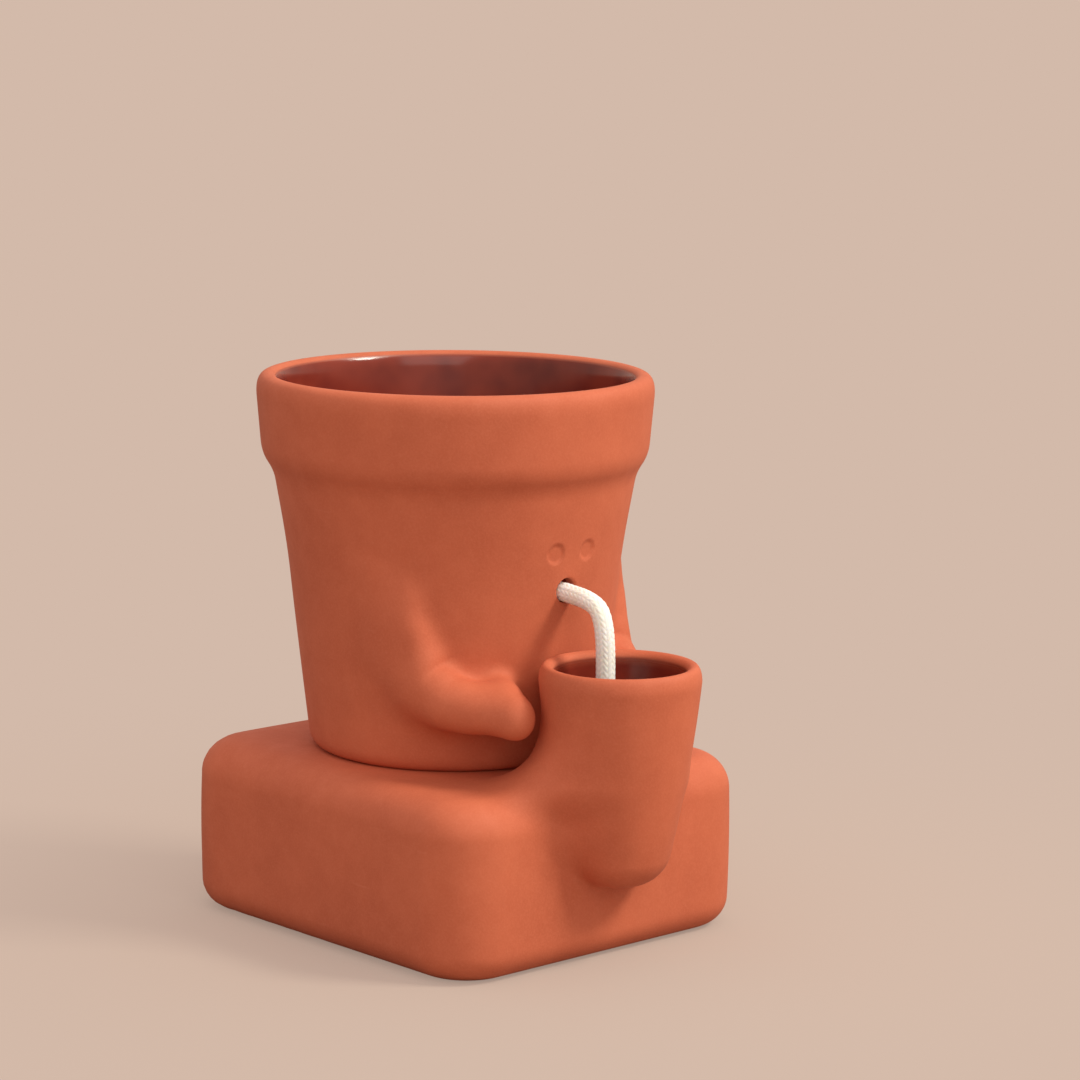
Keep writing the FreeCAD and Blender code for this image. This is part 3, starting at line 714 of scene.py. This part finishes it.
def cup_radius(height):
    """The cup's outside swells upwards on a shallow curve, a quadratic of the height."""
    return 7.58 + 0.2969 * height - 0.001082 * height**2


def rounded_meet(first, second, radius):
    """Distance to the solid that two faces bound together, their edge rounded by radius."""
    first, second = first + radius, second + radius
    outside = np.hypot(np.maximum(first, 0), np.maximum(second, 0))
    return outside + np.minimum(np.maximum(first, second), 0) - radius


def cast_distance(points, wall):
    """Distance to the block melted into the cup. Their meeting is filled widest where the cup
    stands on the block's top and least under the cup. With a wall above 0 it is the cavity."""
    x, y, z = points[:, 0], points[:, 1], points[:, 2]
    middle, half_height = (BLOCK_FRONT + BLOCK_BACK) / 2, BLOCK_HEIGHT / 2
    swell = BARREL * (1 - ((z - half_height) / half_height) ** 2).clip(0)
    sides = abs(x) - BLOCK_HALF_WIDTH + wall - swell
    ends = abs(y - middle) - (BLOCK_BACK - BLOCK_FRONT) / 2 + wall - swell
    plan = rounded_meet(sides, ends, BLOCK_CORNER - wall)
    edge = np.where(z > half_height, BLOCK_TOP_EDGE, BLOCK_FOOT_EDGE) - wall
    block = rounded_meet(plan, abs(z - half_height) - half_height + wall, edge)
    side = (np.hypot(x, y - CUP_Y) - cup_radius(z) + wall) * CUP_LEAN_SHARE
    rounding = CUP_BOTTOM_ROUNDING - THIN_ROUNDING_SHARE * wall
    cup = rounded_meet(side, CUP_BOTTOM + wall - z, rounding)
    to_pot = smooth_step((y - CUP_Y) / np.maximum(np.hypot(x, y - CUP_Y), 1), *POT_SIDE)
    fillet = SEAM_FILLET + FRONT_GAIN * smooth_step(z, *FRONT_RISE)
    fillet = fillet + TOP_GAIN * smooth_step(z, *TOP_RISE) * (1 - to_pot)
    return melted(block, cup, fillet)


cup_turn = np.linspace(0, 2 * math.pi, CUP_COLUMNS, endpoint=False)


def cup_rings(radius, height):
    """Rings round the cup's axis, one for each radius and height, which are columns."""
    x, y = radius * np.sin(cup_turn), CUP_Y - radius * np.cos(cup_turn)
    return np.stack([x, y, height + 0 * cup_turn], axis=-1)


def cast_skin(wall, heart, top, ring_gap, rows_down):
    """Rings from the cup's wall at the height top down over the block to the middle of its
    underside. Each point lies on a ray from the heart, at the length where the distance is 0,
    found by halving. The rays' lean from the cup's axis grows evenly from the last ring on the
    cup's wall to half a turn, and their headings grow more even on the way."""
    heights = np.arange(top, CUP_RINGS_LOW, -ring_gap)[:, None]
    ways = cup_rings(cup_radius(heights) - wall, heights) - heart
    ways /= np.linalg.norm(ways, axis=-1, keepdims=True)
    pole = np.array([0.0, CUP_Y, CUP_RIM]) - heart
    pole /= np.linalg.norm(pole)
    right = np.array([1.0, 0.0, 0.0])
    front = np.cross(right, pole)
    last = ways[-1]
    lean = np.arccos(last @ pole)
    heading = np.unwrap(np.arctan2(last @ right, last @ front))
    share = np.linspace(0, 1, rows_down)[1:-1, None]
    whole_turn = heading[-1] - heading[0] + (heading[-1] - heading[-2])
    even = heading[0] + whole_turn * np.arange(CUP_COLUMNS) / CUP_COLUMNS
    evened = EVENED * smooth_step(share, 0.0, EVENED_BY_SHARE)
    heading = heading * (1 - evened) + even * evened
    lean = lean + (math.pi - lean) * share
    outward = np.sin(heading)[..., None] * right + np.cos(heading)[..., None] * front
    rest = np.cos(lean)[..., None] * pole + np.sin(lean)[..., None] * outward
    ways = np.vstack([ways, rest])
    flat = ways.reshape(-1, 3)
    near, far = np.zeros(len(flat)), np.full(len(flat), FARTHEST)
    for _ in range(HALVINGS):
        reach = (near + far) / 2
        beyond = cast_distance(heart + reach[:, None] * flat, wall) > 0
        near, far = np.where(beyond, near, reach), np.where(beyond, reach, far)
    return (heart + near[:, None] * flat).reshape(ways.shape)


outer_skin = cast_skin(0.0, OUTER_HEART, LIP_OUTSIDE_FOOT, ring_gap=1.1, rows_down=190)
inner_skin = cast_skin(TANK_WALL, INNER_HEART, LIP_INSIDE_FOOT, ring_gap=2.4, rows_down=70)
outer_wall, inner_wall = cup_radius(LIP_OUTSIDE_FOOT), cup_radius(LIP_INSIDE_FOOT) - TANK_WALL
crest = (outer_wall + inner_wall) / 2 + LIP_CREST_SHIFT
bend = np.linspace(0, math.pi / 2, LIP_RINGS)[:, None]
outer_rise, inner_rise = CUP_RIM - LIP_OUTSIDE_FOOT, CUP_RIM - LIP_INSIDE_FOOT
outer_lip_radius = crest + (outer_wall - crest) * np.cos(bend)
inner_lip_radius = crest - (crest - inner_wall) * np.sin(bend)
outer_lip = cup_rings(outer_lip_radius, LIP_OUTSIDE_FOOT + outer_rise * np.sin(bend))[1:]
inner_lip = cup_rings(inner_lip_radius, LIP_INSIDE_FOOT + inner_rise * np.cos(bend))[1:-1]
base = np.vstack([outer_skin[::-1], outer_lip, inner_lip, inner_skin])
faces = closed_tube(np.arange(base.shape[0] * CUP_COLUMNS).reshape(base.shape[:2]))
base_piece = surface("cast_base", MM * base.reshape(-1, 3), faces, "base")
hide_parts("base_with_cup")
below_lip = np.arange(len(base)) - len(base) + len(inner_skin)
mark_glazed(base_piece, (smooth_step(below_lip, -2.0, 1.0)[:, None] + 0 * cup_turn).ravel())
base_piece.data.materials.append(clay)

# Floor and light: a pale sheet of paper that runs out into a background of its own colour. One
# lamp stands high on the right, a large one on the left, and the room is lit from all round,
# more from above.
PALE = (0.651, 0.491, 0.402, 1)
FLOOR_SEEN, FLOOR_BOUNCE = (0.50, 0.385, 0.32, 1), (0.38, 0.29, 0.24, 1)
ROOM, ROOM_LEVEL, ROOM_ABOVE = (1.0, 0.91, 0.87, 1), 0.56, 0.38
# The sheet fades between these distances from its middle, so that it is faded a little there
SHEET_RADIUS, SHEET_CORNERS, SHEET_FADE = 4.0, 96, (-0.25, 0.4)
LAMP_AIM = (0, 0, 0.08)

edge_turn = np.linspace(0, 2 * math.pi, SHEET_CORNERS, endpoint=False)
edge = SHEET_RADIUS * np.column_stack([np.cos(edge_turn), np.sin(edge_turn), 0 * edge_turn])
floor_mesh = bpy.data.meshes.new("floor")
floor_mesh.from_pydata(edge.tolist(), [], [list(range(SHEET_CORNERS))])
floor = bpy.data.objects.new("floor", floor_mesh)
scene.collection.objects.link(floor)

paper, shader, tree = material("pale_floor", Roughness=1.0, Specular_IOR_Level=0.0)
seen = tree.node("LightPath", out="Is Camera Ray")
seen.mix(FLOOR_BOUNCE, FLOOR_SEEN).feed(shader, "Base Color")
on_floor = tree.node("TexCoord", out="Object")
far = tree.node("VectorMath", {"operation": "LENGTH"}, out="Value", _0=on_floor).ramp(*SHEET_FADE)
lit = Socket(tree.tree, shader.outputs[0])
faded = tree.node("MixShader", _0=far * seen, _1=lit, _2=tree.node("Emission", Color=PALE))
faded.feed(tree.tree.nodes["Material Output"], "Surface")
floor_mesh.materials.append(paper)

world = bpy.data.worlds.new("studio")
scene.world = world
world.use_nodes = True
air = Socket(world.node_tree)
height_of_sky = air.node("SeparateXYZ", out="Z", _0=air.node("TexCoord", out="Generated"))
brightness = ROOM_LEVEL + ROOM_ABOVE * air.math("MAXIMUM", height_of_sky, 0.0)
room = air.node("Background", Color=ROOM, Strength=brightness)
backdrop = air.node("Background", Color=PALE, Strength=1.0)
camera_ray, glossy_ray, transmission_ray = (
    air.node("LightPath", out=f"Is {kind} Ray") for kind in ("Camera", "Glossy", "Transmission")
)
seen = camera_ray + glossy_ray + transmission_ray
sky = air.node("MixShader", _0=seen, _1=room, _2=backdrop)
sky.feed(world.node_tree.nodes["World Output"], "Surface")


def lamp(name, place, size, power, color):
    """A square lamp aimed at a point in the middle of the pot."""
    light = bpy.data.lights.new(name, "AREA")
    light.size = size
    light.energy = power
    light.color = color
    holder = bpy.data.objects.new(name, light)
    scene.collection.objects.link(holder)
    holder.location = place
    to_pot = Vector(LAMP_AIM) - Vector(place)
    holder.rotation_euler = to_pot.to_track_quat("-Z", "Y").to_euler()


lamp("key", (0.85, -1.25, 1.6), 0.5, 31, (1.0, 1.0, 0.88))
lamp("front", (-0.75, -1.6, 1.3), 1.6, 9, (1.0, 0.97, 0.92))
scene.view_settings.view_transform = "Standard"
